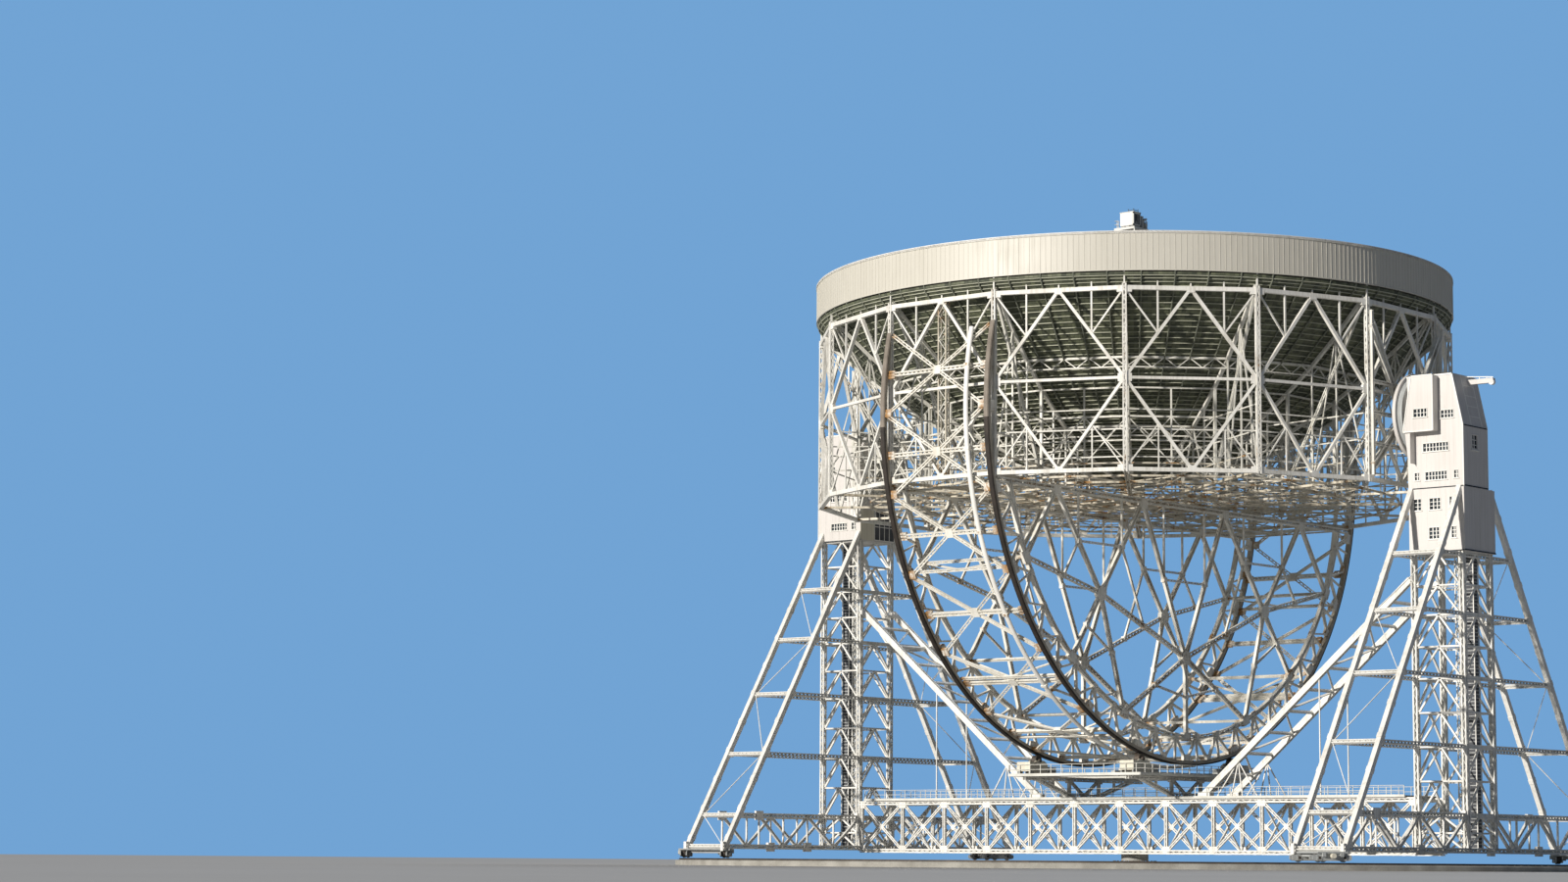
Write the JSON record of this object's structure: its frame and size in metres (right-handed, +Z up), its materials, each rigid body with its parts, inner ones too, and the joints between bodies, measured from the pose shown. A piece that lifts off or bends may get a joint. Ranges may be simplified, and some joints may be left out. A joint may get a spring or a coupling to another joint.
{
  "type": "radio telescope dish, 1:10 scale model",
  "caption": "Steerable radio telescope dish at one tenth size: deep bowl on two half wheels between lattice towers that turn on a ring of rails.",
  "frame": {"origin": "on the ground, on the vertical axis that the whole telescope turns about", "axes": "+X along the elevation axis towards the right-hand tower, -Y towards the front, +Z up"},
  "size_m": [10.86, 10.86, 7.91],
  "materials": {
    "white_paint": "weathered matt paint with rust at the joints",
    "cream_paint": "weathered matt cream paint",
    "cabin_paint": "matt painted sheeting",
    "green_paint": "dull green-grey paint",
    "grey_paint": "matt grey paint, rust streaks",
    "reflector_paint": "satin light grey paint",
    "concrete": "rough weathered concrete",
    "steel": "greasy dark steel"
  },
  "bodies": {
    "ground_works": {"rail_track": "concrete", "pivot_block": "concrete"},
    "turntable": {"girder_front": "white_paint", "girder_back": "white_paint", "girder_deck": "grey_paint", "girder_cross_frames": "white_paint", "left_front_bogie": "steel", "left_back_bogie": "steel", "left_tower_inner_side": "white_paint", "left_tower_outer_side": "white_paint", "left_tower_front_bracing": "white_paint", "left_tower_back_bracing": "white_paint", "left_cabin": "cabin_paint", "left_drum_cover": "cabin_paint", "left_raking_struts": "white_paint", "left_cradle": "white_paint", "left_roller_carriages": "cream_paint", "right_front_bogie": "steel", "right_back_bogie": "steel", "right_tower_inner_side": "white_paint", "right_tower_outer_side": "white_paint", "right_tower_front_bracing": "white_paint", "right_tower_back_bracing": "white_paint", "right_lower_cabin": "cabin_paint", "right_cabin": "cabin_paint", "right_drum_cover": "cabin_paint", "right_raking_struts": "white_paint", "right_cradle": "white_paint", "right_roller_carriages": "cream_paint", "roller_platform": "grey_paint"},
    "bowl": {"left_wheel": "white_paint", "left_trunnion": "grey_paint", "right_wheel": "white_paint", "right_trunnion": "grey_paint", "wheel_bracing": "white_paint", "wheel_tube": "white_paint", "wall_back_right": "white_paint", "wall_back_left": "white_paint", "wall_front_left": "white_paint", "wall_front_right": "white_paint", "trusses_back_right": "white_paint", "trusses_back_left": "white_paint", "trusses_front_left": "white_paint", "trusses_front_right": "white_paint", "floor_lattice": "white_paint", "centre_column": "white_paint", "membrane": "green_paint", "reflector": "reflector_paint", "rim_band": "cream_paint", "vertex_hub": "white_paint", "focus_tower": "white_paint", "focus_platform": "grey_paint", "focus_box": "cabin_paint"}
  },
  "joints": [
    {"name": "azimuth", "type": "hinge", "parent": "ground_works", "child": "turntable", "pos_m": [0, 0, 0.12], "axis": [0, 0, 1], "continuous": true},
    {"name": "elevation", "type": "hinge", "parent": "turntable", "child": "bowl", "pos_m": [0, 0, 5.05], "axis": [1, 0, 0], "range_deg": [0, 90]}
  ]
}
